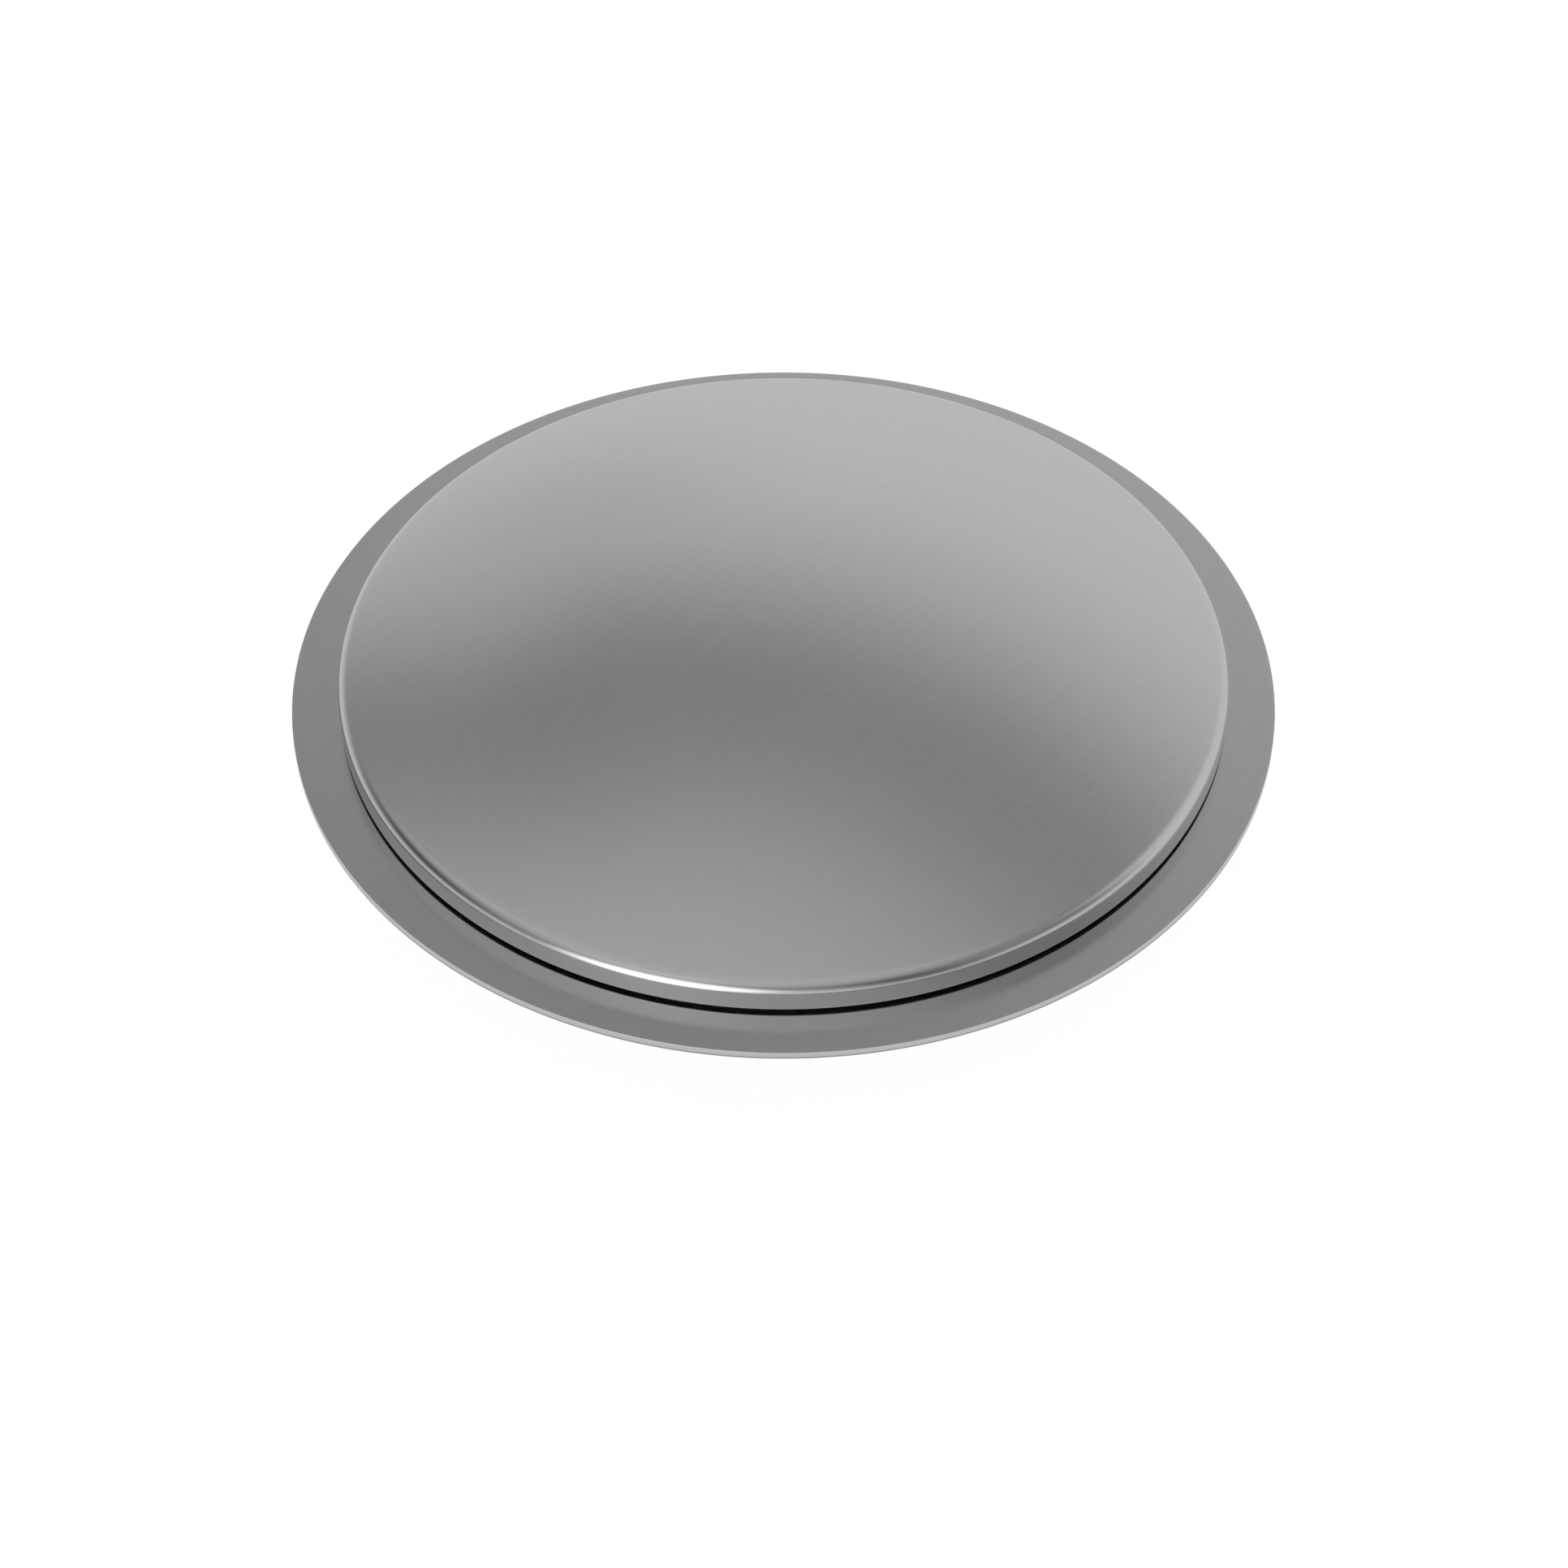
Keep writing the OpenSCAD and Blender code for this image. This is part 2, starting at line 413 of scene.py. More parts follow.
def make_grain_group():
    """Fine parallel streaks, as a belt leaves them: long one way and narrow the other."""
    tree, given, result = add_group(
        "satin grain", "ShaderNodeTree",
        [
            ("Vector", "NodeSocketVector", None),
            ("Turn", "NodeSocketFloat", 0.0),
            ("Streaks Across", "NodeSocketFloat", 1400.0),
            ("Streaks Along", "NodeSocketFloat", 60.0),
        ],
        [("Streaks", "NodeSocketFloat"), ("Bands", "NodeSocketFloat")],
    )
    lengthwise = turned(tree, given["Vector"], given["Turn"])
    for output, coarseness in (("Streaks", 1.0), ("Bands", 0.12)):
        scales = tree.nodes.new("ShaderNodeCombineXYZ")
        for axis, scale in (("X", "Streaks Along"), ("Y", "Streaks Across"), ("Z", "Streaks Across")):
            wire(tree, calc(tree, "MULTIPLY", given[scale], coarseness), scales.inputs[axis])
        stretched = vector_calc(tree, "MULTIPLY", lengthwise, scales.outputs[0])
        wire(tree, cloud(tree, stretched, scale=1.0), result[output])
    return tree


def make_handling_group():
    """Marks of handling: hairline scratches that run any way, in patches, and broad faint smudges."""
    tree, given, result = add_group(
        "handling marks", "ShaderNodeTree",
        [("Vector", "NodeSocketVector", None)],
        [("Hairlines", "NodeSocketFloat"), ("Smudges", "NodeSocketFloat")],
    )
    wire(tree, cloud(tree, given["Vector"], scale=7.0, detail=4.0), result["Smudges"])
    lines = 0.0
    for number, angle in enumerate((0.35, 1.9, 2.75)):
        along = turned(tree, given["Vector"], angle)
        stretched = vector_calc(tree, "MULTIPLY", along, (11.0 + number, 700.0, 500.0))
        line = ranged(tree, cloud(tree, stretched, scale=1.0, detail=0.0), 0.72, 0.80)
        elsewhere = vector_calc(tree, "ADD", given["Vector"], (number, 2.0, 5.0))
        patch = ranged(tree, cloud(tree, elsewhere, scale=9.0), 0.52, 0.66)
        lines = calc(tree, "MAXIMUM", lines, calc(tree, "MULTIPLY", line, patch))
    wire(tree, lines, result["Hairlines"])
    return tree


def make_ring_distance_group():
    """How far a point is from a circle round the Z axis, such as a weld or an edge."""
    tree, given, result = add_group(
        "distance from a ring", "ShaderNodeTree",
        [
            ("Vector", "NodeSocketVector", None),
            ("Ring Radius", "NodeSocketFloat", 0.3),
            ("Ring Height", "NodeSocketFloat", 0.0),
        ],
        [("Distance", "NodeSocketFloat")],
    )
    out = calc(tree, "SUBTRACT", radius_of(tree, given["Vector"]), given["Ring Radius"])
    up = calc(tree, "SUBTRACT", height_of(tree, given["Vector"]), given["Ring Height"])
    squares = calc(tree, "ADD", calc(tree, "MULTIPLY", out, out), calc(tree, "MULTIPLY", up, up))
    wire(tree, calc(tree, "SQRT", squares), result["Distance"])
    return tree


grain_group = make_grain_group()
handling_group = make_handling_group()
ring_distance_group = make_ring_distance_group()


def place_group(tree, group, values):
    """A shader group in a material, with its own values, as its outputs."""
    node = tree.nodes.new("ShaderNodeGroup")
    node.node_tree = group
    for name, value in values.items():
        wire(tree, value, node.inputs[name])
    return node.outputs


def start_material(name, metallic):
    """A material with a Principled shader, as its tree, that shader and the piece's own coordinates."""
    material = bpy.data.materials.new(name)
    material.use_nodes = True
    tree = material.node_tree
    shader = tree.nodes["Principled BSDF"]
    shader.inputs["Metallic"].default_value = metallic
    return material, tree, shader, tree.nodes.new("ShaderNodeTexCoord").outputs["Object"]


def weighted(tree, start, *terms):
    """start plus each (value, weight), where a value sits about 0.5."""
    for value, weight in terms:
        start = calc(tree, "ADD", start, calc(tree, "MULTIPLY", calc(tree, "SUBTRACT", value, 0.5), weight))
    return start


def bumped(tree, height, shader, depth):
    """Gives a shader's surface relief, from a height of 0 to 1 over a depth in metres."""
    bump = tree.nodes.new("ShaderNodeBump")
    bump.inputs["Strength"].default_value = 1.0
    wire(tree, depth, bump.inputs["Distance"])
    wire(tree, height, bump.inputs["Height"])
    wire(tree, bump.outputs["Normal"], shader.inputs["Normal"])


def coloured(tree, tone, tint, shader):
    """A grey tone times a tint, into a shader's base colour."""
    even = tree.nodes.new("ShaderNodeCombineXYZ")
    for channel in even.inputs:
        wire(tree, tone, channel)
    wire(tree, vector_calc(tree, "MULTIPLY", tint, even.outputs[0]), shader.inputs["Base Color"])


def between(tree, share, first, second):
    """A value that goes from first to second as share goes from 0 to 1."""
    return calc(tree, "ADD", first, calc(tree, "MULTIPLY", calc(tree, "SUBTRACT", second, first), share))


def make_satin_steel(name, tone, roughness, edge, raw_side):
    """Satin brushed stainless with faint handling marks and an edge rubbed bright by gloves.
    raw_side gives the share of mill finish, which stays on the sides that the belt never reached."""
    material, tree, shader, where = start_material(name, 1.0)
    grain = place_group(tree, grain_group, {"Vector": where, "Turn": brushing_turn})
    marks = place_group(tree, handling_group, {"Vector": where})
    edge_r, edge_z = edge
    ring = {"Vector": where, "Ring Radius": edge_r, "Ring Height": edge_z}
    rubbed_width = 0.004
    rubbed = ranged(tree, place_group(tree, ring_distance_group, ring)["Distance"], rubbed_width, 0.0)
    tone = weighted(
        tree, tone, (grain["Streaks"], 0.05), (grain["Bands"], 0.03), (marks["Smudges"], 0.016)
    )
    tone = calc(tree, "ADD", tone, calc(tree, "MULTIPLY", rubbed, 0.03))
    rough = weighted(
        tree, roughness, (grain["Streaks"], 0.06), (grain["Bands"], 0.03), (marks["Smudges"], 0.05)
    )
    rough = calc(tree, "ADD", rough, calc(tree, "MULTIPLY", marks["Hairlines"], 0.06))
    rough = calc(tree, "SUBTRACT", rough, calc(tree, "MULTIPLY", rubbed, 0.04))

    raw = raw_side(tree, where)
    mottle = cloud(tree, where, scale=34.0, detail=6.0)
    raw_tone = weighted(tree, 0.42, (mottle, 0.14), (marks["Smudges"], 0.06))
    raw_rough = weighted(tree, 0.34, (mottle, 0.16))
    wire(tree, between(tree, raw, tone, raw_tone), shader.inputs["Base Color"])
    wire(tree, between(tree, raw, rough, raw_rough), shader.inputs["Roughness"])
    height = calc(tree, "SUBTRACT", grain["Streaks"], calc(tree, "MULTIPLY", marks["Hairlines"], 0.6))
    bumped(tree, height, shader, depth=0.000003)
    return material


def inside_of_lid(tree, where):
    """1 on the concave side of the lid and inside its rim, 0 on the side that shows."""
    ring = {"Vector": where, "Ring Radius": 0.0, "Ring Height": crown_centre[1]}
    from_centre = place_group(tree, ring_distance_group, ring)["Distance"]
    under = calc(tree, "LESS_THAN", from_centre, crown_r - lid_sheet / 2)
    cut_edge = 0.0002
    within = calc(tree, "LESS_THAN", radius_of(tree, where), lid_r - lid_sheet + cut_edge)
    return calc(tree, "MULTIPLY", under, within)


brushing_turn = math.radians(-49)
lid_low, lid_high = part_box("lid_shell")
lid_r = lid_high.x
lid_sheet = 0.003
lid_edge = 0.0002
rim_height = 0.0135
shoulder_r = 0.010
crown_r = 1.170

shoulder_centre = (lid_r - shoulder_r, lid_low.z + rim_height)
crown_centre = (0, lid_high.z - crown_r)
tangent = math.acos(shoulder_centre[0] / (crown_r - shoulder_r))
rim_inside = (lid_r - lid_sheet, lid_low.z)
rim_outside = (lid_r, lid_low.z)
quarter = math.pi / 2
lid_outline = [
    *arc(crown_centre, crown_r - lid_sheet, quarter, tangent, 32),
    *arc(shoulder_centre, shoulder_r - lid_sheet, tangent, 0, 8)[1:],
    *rolled_corner((rim_inside[0], shoulder_centre[1]), rim_inside, rim_outside, lid_edge),
    *rolled_corner(rim_inside, rim_outside, (lid_r, shoulder_centre[1]), lid_edge),
    *arc(shoulder_centre, shoulder_r, 0, tangent, 14),
    *arc(crown_centre, crown_r, tangent, quarter, 44)[1:],
]
satin_tone = 0.70
satin_roughness = 0.17
lid_steel = make_satin_steel("satin lid steel", satin_tone, satin_roughness, rim_outside, inside_of_lid)
lid = spin("lid", lid_outline, lid_steel, steps=360)
settle(lid, "lid", ["lid_shell"])


# ---- Flange ----
# A ring cut by laser from 6 mm stainless plate, satin brushed on top like the lid. It lies on the roof
# or slab, and its sharp edges are broken with a file.
def softened(corners, radius):
    """A closed outline through the corners, run with the metal on its left, each corner rolled over."""
    count = len(corners)
    outline = []
    for i, corner in enumerate(corners):
        outline += rolled_corner(corners[i - 1], corner, corners[(i + 1) % count], radius)
    return outline + outline[:1]


def ring_corners(inner, outer, low, high):
    """The corners of a flat ring's cut face."""
    return [(inner, low), (outer, low), (outer, high), (inner, high)]


flange_low, flange_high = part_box("flange_plate")
flange_r = flange_high.x
spigot_low, spigot_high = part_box("spigot_ring")
spigot_r = spigot_high.x
spigot_wall = 0.004
bore_r = spigot_r - spigot_wall


def sheltered_flange(tree, where):
    """1 on the underside and on the part of the top that the lid covers, 0 on the margin that shows."""
    shows_from = rim_inside[0] + 0.0005
    covered_to = rim_inside[0] - 0.001
    covered = ranged(tree, radius_of(tree, where), shows_from, covered_to)
    below = calc(tree, "LESS_THAN", height_of(tree, where), flange_high.z / 4)
    return calc(tree, "MAXIMUM", covered, below)


filed_edge = 0.0002
flange_edge = (flange_r, flange_high.z)
flange_steel = make_satin_steel(
    "satin flange steel", satin_tone, satin_roughness, flange_edge, sheltered_flange
)
flange_outline = softened(ring_corners(bore_r, flange_r, flange_low.z, flange_high.z), filed_edge)
flange = spin("flange", flange_outline, flange_steel, steps=360)
settle(flange, "frame", ["flange_plate"])


# ---- Neck ----
# The spigot and the upstand are strips of stainless sheet rolled into rings and butt welded, and the land
# is a flat laser-cut ring on top. All have a mill finish, are welded on, and are pickled grey by the welds.
def make_weld_zone_group():
    """The dull grey band that pickling leaves beside a weld, and the straw tint at its outer edge."""
    tree, given, result = add_group(
        "weld zone", "ShaderNodeTree",
        [
            ("Vector", "NodeSocketVector", None),
            ("Distance", "NodeSocketFloat", 0.01),
            ("Width", "NodeSocketFloat", 0.009),
        ],
        [("Dull", "NodeSocketFloat"), ("Tint", "NodeSocketColor")],
    )
    reach = calc(tree, "DIVIDE", given["Distance"], given["Width"])
    reach = weighted(tree, reach, (cloud(tree, given["Vector"], scale=90.0), 0.5))
    wire(tree, ranged(tree, reach, 1.05, 0.7), result["Dull"])
    stops = [
        (0.0, (0.78, 0.78, 0.80)), (0.55, (0.86, 0.85, 0.84)), (0.72, (0.80, 0.72, 0.64)),
        (0.84, (0.96, 0.86, 0.68)), (1.0, (1, 1, 1)),
    ]
    wire(tree, graded(tree, calc(tree, "MULTIPLY", reach, 0.8), stops), result["Tint"])
    return tree


weld_zone_group = make_weld_zone_group()


def make_mill_steel(name, tone, roughness, weld_rings):
    """Mill-finish stainless: faint rolling lines, a mottled grey sheen and pickled bands by its welds."""
    material, tree, shader, where = start_material(name, 1.0)
    rolled = place_group(
        tree, grain_group,
        {"Vector": where, "Turn": 0.0, "Streaks Across": 420.0, "Streaks Along": 35.0},
    )
    marks = place_group(tree, handling_group, {"Vector": where})
    mottle = cloud(tree, where, scale=42.0, detail=6.0)
    nearest = 1.0
    for ring_r, ring_z in weld_rings:
        ring = {"Vector": where, "Ring Radius": ring_r, "Ring Height": ring_z}
        nearest = calc(tree, "MINIMUM", nearest, place_group(tree, ring_distance_group, ring)["Distance"])
    zone = place_group(tree, weld_zone_group, {"Vector": where, "Distance": nearest})
    tone = weighted(
        tree, tone, (rolled["Streaks"], 0.06), (mottle, 0.16), (marks["Smudges"], 0.08)
    )
    coloured(tree, tone, zone["Tint"], shader)
    rough = weighted(
        tree, roughness, (rolled["Streaks"], 0.06), (mottle, 0.10), (marks["Smudges"], 0.10)
    )
    rough = calc(tree, "ADD", rough, calc(tree, "MULTIPLY", zone["Dull"], 0.20))
    rough = calc(tree, "ADD", rough, calc(tree, "MULTIPLY", marks["Hairlines"], 0.08))
    wire(tree, rough, shader.inputs["Roughness"])
    height = weighted(tree, rolled["Streaks"], (marks["Hairlines"], -0.8))
    bumped(tree, height, shader, depth=0.000008)
    return material


upstand_low, upstand_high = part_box("upstand_ring")
land_low, land_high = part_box("land_ring")
upstand_r = upstand_high.x
land_r = land_high.x
broken_edge = 0.0004
neck_welds = [(spigot_r, flange_low.z), (upstand_r, flange_high.z), (upstand_r, land_low.z)]
neck_steel = make_mill_steel("neck mill steel", tone=0.50, roughness=0.26, weld_rings=neck_welds)
for name, outer, low, high, node in (
    ("spigot", spigot_r, spigot_low.z, spigot_high.z, "spigot_ring"),
    ("upstand", upstand_r, upstand_low.z, upstand_high.z, "upstand_ring"),
    ("land", land_r, land_low.z, land_high.z, "land_ring"),
):
    ring = spin(name, softened(ring_corners(bore_r, outer, low, high), broken_edge), neck_steel)
    settle(ring, "frame", [node])


# ---- Neck welds ----
# Continuous TIG fillets round the spigot, the upstand and the land, and one upright butt weld in the
# rolled spigot. The welder's dabs of filler leave a row of overlapping ripples.
def make_bead_tree():
    """A rippled weld bead along each line of its path: a round bar whose girth swells once a ripple."""
    tree, given, result = add_group(
        "weld bead", "GeometryNodeTree",
        [
            ("Path", "NodeSocketGeometry", None),
            ("Bead Radius", "NodeSocketFloat", 0.0022),
            ("Ripple Pitch", "NodeSocketFloat", 0.0026),
            ("Ripple Depth", "NodeSocketFloat", 0.16),
            ("Open Ends", "NodeSocketFloat", 0.0),
            ("Seed", "NodeSocketFloat", 0.0),
            ("Finish", "NodeSocketMaterial", None),
        ],
        [("Geometry", "NodeSocketGeometry")],
    )
    line = tree.nodes.new("GeometryNodeMeshToCurve")
    wire(tree, given["Path"], line.inputs["Mesh"])
    even = tree.nodes.new("GeometryNodeResampleCurve")
    even.mode = "LENGTH"
    wire(tree, line.outputs["Curve"], even.inputs["Curve"])
    rows_per_ripple = 3.0
    wire(tree, calc(tree, "DIVIDE", given["Ripple Pitch"], rows_per_ripple), even.inputs["Length"])
    along = tree.nodes.new("GeometryNodeSplineParameter").outputs["Length"]
    whole = tree.nodes.new("GeometryNodeSplineLength").outputs["Length"]
    ripple = calc(tree, "FRACT", calc(tree, "DIVIDE", along, given["Ripple Pitch"]))
    swell = calc(tree, "SINE", calc(tree, "MULTIPLY", ripple, math.pi))
    wander = tree.nodes.new("ShaderNodeTexNoise")
    wander.noise_dimensions = "4D"
    wire(tree, given["Seed"], wander.inputs["W"])
    wire(tree, 160.0, wander.inputs["Scale"])
    girth = weighted(tree, 1.0, (swell, given["Ripple Depth"]), (wander.outputs[0], 0.25))
    end = calc(tree, "MINIMUM", along, calc(tree, "SUBTRACT", whole, along))
    taper_length, taper_to = 0.004, 0.45
    taper = ranged(tree, end, 0.0, taper_length, taper_to, 1.0)
    girth = calc(tree, "MULTIPLY", girth, between(tree, given["Open Ends"], 1.0, taper))
    girth = calc(tree, "MULTIPLY", girth, given["Bead Radius"])
    section = tree.nodes.new("GeometryNodeCurvePrimitiveCircle")
    sides = 8
    wire(tree, sides, section.inputs["Resolution"])
    wire(tree, 1.0, section.inputs["Radius"])
    swept = tree.nodes.new("GeometryNodeCurveToMesh")
    wire(tree, even.outputs["Curve"], swept.inputs["Curve"])
    wire(tree, girth, swept.inputs["Scale"])
    wire(tree, section.outputs["Curve"], swept.inputs["Profile Curve"])
    wire(tree, True, swept.inputs["Fill Caps"])
    finish_tree(tree, swept.outputs["Mesh"], given["Finish"], result["Geometry"], smooth=True)
    return tree


bead_tree = make_bead_tree()


def make_weld_steel(name, tone, roughness):
    """Weld metal: brushed clean with wire, with a straw and blue cast in places."""
    material, tree, shader, where = start_material(name, 1.0)
    cast = cloud(tree, where, scale=55.0, detail=3.0)
    stops = [
        (0.30, (0.88, 0.90, 1.0)), (0.5, (1.0, 1.0, 1.0)),
        (0.62, (1.0, 0.96, 0.88)), (0.75, (1.0, 0.91, 0.76)),
    ]
    wire_marks = place_group(
        tree, grain_group,
        {"Vector": where, "Turn": 0.6, "Streaks Across": 3200.0, "Streaks Along": 900.0},
    )
    coloured(tree, weighted(tree, tone, (wire_marks["Streaks"], 0.12)), graded(tree, cast, stops), shader)
    rough = weighted(tree, roughness, (wire_marks["Streaks"], 0.2), (cast, 0.1))
    wire(tree, rough, shader.inputs["Roughness"])
    bumped(tree, wire_marks["Streaks"], shader, depth=0.00003)
    return material


def ring_path(radius, height, steps=288):
    """A closed ring as points and the edges that join them."""
    turns = [math.tau * k / steps for k in range(steps)]
    points = [(radius * math.cos(a), radius * math.sin(a), height) for a in turns]
    return points, [(k, (k + 1) % steps) for k in range(steps)]


def joined_paths(paths):
    """Several paths as one list of points and one of edges."""
    points, edges = [], []
    for more_points, more_edges in paths:
        start = len(points)
        points += more_points
        edges += [(start + a, start + b) for a, b in more_edges]
    return points, edges


def line_path(points):
    """An open line through the points."""
    return points, [(k, k + 1) for k in range(len(points) - 1)]


def weld(name, paths, radius, body, seed, open_ends=False, pitch=0.0026):
    """One piece of weld bead along all its paths. Open ends taper off."""
    work = start_piece(name, *joined_paths(paths))
    add_tree(work, bead_tree, {
        "Bead Radius": radius,
        "Ripple Pitch": pitch,
        "Open Ends": 1.0 if open_ends else 0.0,
        "Seed": float(seed),
        "Finish": weld_steel,
    })
    settle(work, body)


weld_steel = make_weld_steel("weld metal", tone=0.60, roughness=0.33)
neck_bead = 0.0020
land_bead = 0.0016
for name, ring_r, ring_z, bead, seed in (
    ("weld_spigot", spigot_r, flange_low.z, neck_bead, 1),
    ("weld_upstand", upstand_r, flange_high.z, neck_bead, 2),
    ("weld_land", upstand_r, land_low.z, land_bead, 3),
):
    weld(name, [ring_path(ring_r, ring_z)], bead, "frame", seed)

seam_bead = 0.0014
seam_turn = math.radians(205)
seam_margin = 0.001
seam_heights = evenly(spigot_low.z + seam_margin, flange_low.z - seam_margin, 12)
seam = line_path([(spigot_r * math.cos(seam_turn), spigot_r * math.sin(seam_turn), z) for z in seam_heights])
weld("weld_seam", [seam], seam_bead, "frame", seed=4, open_ends=True)


# ---- Weld studs ----
# Twelve M10 threaded studs of stainless bar, drawn-arc welded under the flange. Each has rolled threads, a
# short plain neck, a chamfered tip and a small collar of flash where it is welded.
def make_stud_tree():
    """One threaded stud hanging from height 0: a skin whose radius follows the thread."""
    tree, given, result = add_group(
        "threaded stud", "GeometryNodeTree",
        [
            ("Start", "NodeSocketGeometry", None),
            ("Length", "NodeSocketFloat", 0.025),
            ("Radius", "NodeSocketFloat", 0.005),
            ("Pitch", "NodeSocketFloat", 0.0015),
            ("Thread Depth", "NodeSocketFloat", 0.0009),
            ("Plain Neck", "NodeSocketFloat", 0.003),
            ("Chamfer", "NodeSocketFloat", 0.0012),
            ("Finish", "NodeSocketMaterial", None),
        ],
        [("Geometry", "NodeSocketGeometry")],
    )
    columns, rows = 24, 110
    grid = tree.nodes.new("GeometryNodeMeshGrid")
    wire(tree, columns + 1, grid.inputs["Vertices X"])
    wire(tree, rows, grid.inputs["Vertices Y"])
    index = tree.nodes.new("GeometryNodeInputIndex").outputs["Index"]
    step = calc(tree, "FLOOR", calc(tree, "DIVIDE", calc(tree, "ADD", index, 0.5), rows))
    row = calc(tree, "SUBTRACT", index, calc(tree, "MULTIPLY", step, rows))
    turn = calc(tree, "DIVIDE", step, columns)
    up = calc(tree, "DIVIDE", calc(tree, "SUBTRACT", row, 1.0), rows - 3.0, clamp=True)
    height = calc(tree, "MULTIPLY", calc(tree, "SUBTRACT", up, 1.0), given["Length"])
    phase = calc(tree, "FRACT", calc(tree, "ADD", calc(tree, "DIVIDE", height, given["Pitch"]), turn))
    ridge = calc(tree, "ABSOLUTE", calc(tree, "SUBTRACT", calc(tree, "MULTIPLY", phase, 2.0), 1.0))
    root_flat, crest_flat = 0.12, 0.88
    ridge = ranged(tree, ridge, root_flat, crest_flat, smooth=False)
    run_out = 0.0008
    over_neck = calc(tree, "ADD", height, given["Plain Neck"])
    into_neck = ranged(tree, over_neck, -run_out, 0.0, 1.0, 0.0, smooth=False)
    groove = calc(tree, "MULTIPLY", calc(tree, "SUBTRACT", 1.0, ridge), into_neck)
    radius = calc(tree, "SUBTRACT", given["Radius"], calc(tree, "MULTIPLY", groove, given["Thread Depth"]))
    from_tip = calc(tree, "ADD", height, given["Length"])
    tip = calc(tree, "ADD", calc(tree, "SUBTRACT", given["Radius"], given["Chamfer"]), from_tip)
    radius = calc(tree, "MINIMUM", radius, tip)
    past_first = calc(tree, "GREATER_THAN", row, 0.5)
    before_last = calc(tree, "LESS_THAN", row, rows - 1.5)
    radius = calc(tree, "MULTIPLY", radius, calc(tree, "MULTIPLY", past_first, before_last))
    skin = closed_skin(tree, grid, around(tree, radius, calc(tree, "MULTIPLY", turn, math.tau), height))
    finish_tree(tree, skin, given["Finish"], result["Geometry"], smooth=True)
    return tree


def make_round_tree():
    """Copies of a piece, evenly spaced round the Z axis, the first one at the start angle."""
    tree, given, result = add_group(
        "evenly round", "GeometryNodeTree",
        [
            ("Piece", "NodeSocketGeometry", None),
            ("Count", "NodeSocketInt", 6),
            ("Distance", "NodeSocketFloat", 0.0),
            ("Start Angle", "NodeSocketFloat", 0.0),
            ("Finish", "NodeSocketMaterial", None),
        ],
        [("Geometry", "NodeSocketGeometry")],
    )
    spots = tree.nodes.new("GeometryNodeMeshLine")
    wire(tree, given["Count"], spots.inputs["Count"])
    wire(tree, (0, 0, 0), spots.inputs["Offset"])
    index = tree.nodes.new("GeometryNodeInputIndex").outputs["Index"]
    spacing = calc(tree, "DIVIDE", math.tau, given["Count"])
    angle = calc(tree, "ADD", given["Start Angle"], calc(tree, "MULTIPLY", index, spacing))
    moved = tree.nodes.new("GeometryNodeSetPosition")
    wire(tree, spots.outputs["Mesh"], moved.inputs["Geometry"])
    wire(tree, around(tree, given["Distance"], angle), moved.inputs["Position"])
    facing = tree.nodes.new("ShaderNodeCombineXYZ")
    wire(tree, angle, facing.inputs["Z"])
    copies = tree.nodes.new("GeometryNodeInstanceOnPoints")
    wire(tree, moved.outputs["Geometry"], copies.inputs["Points"])
    wire(tree, given["Piece"], copies.inputs["Instance"])
    wire(tree, facing.outputs["Vector"], copies.inputs["Rotation"])
    finish_tree(tree, copies.outputs["Instances"], given["Finish"], result["Geometry"], smooth=False)
    return tree


stud_tree = make_stud_tree()
round_tree = make_round_tree()


def make_stud_steel():
    """Bright drawn bar with a fine even grain and a little grime."""
    material, tree, shader, where = start_material("bright stud steel", 1.0)
    lines = place_group(
        tree, grain_group,
        {"Vector": where, "Turn": 0.0, "Streaks Across": 1500.0, "Streaks Along": 1500.0},
    )
    grime = cloud(tree, where, scale=240.0)
    warm_white = (1.0, 0.995, 0.98)
    coloured(tree, weighted(tree, 0.62, (lines["Streaks"], 0.10), (grime, 0.12)), warm_white, shader)
    wire(tree, weighted(tree, 0.24, (grime, 0.16)), shader.inputs["Roughness"])
    bumped(tree, lines["Streaks"], shader, depth=0.00001)
    return material


stud_low, stud_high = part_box("weld_studs")
stud_count = 12
stud_inset = 0.028
stud_r = 0.005
stud_circle_r = flange_r - stud_inset
stud_start = math.pi / stud_count
stud_steel = make_stud_steel()
studs = start_piece("studs", [(0, 0, 0)], [])
add_tree(studs, stud_tree, {"Length": stud_high.z - stud_low.z, "Radius": stud_r, "Finish": stud_steel})
stud_places = {"Count": stud_count, "Distance": stud_circle_r, "Start Angle": stud_start}
add_tree(studs, round_tree, {**stud_places, "Finish": stud_steel})
settle(studs, "frame", ["weld_studs"])

flash_bead = 0.0009
flash_r = stud_r + 0.0003
flash_steps = 32
flash = start_piece("stud_flash", *ring_path(flash_r, flange_low.z, flash_steps))
add_tree(flash, bead_tree, {
    "Bead Radius": flash_bead,
    "Ripple Pitch": 0.0024,
    "Ripple Depth": 0.3,
    "Seed": 5.0,
    "Finish": weld_steel,
})
add_tree(flash, round_tree, {**stud_places, "Finish": weld_steel})
settle(flash, "frame")


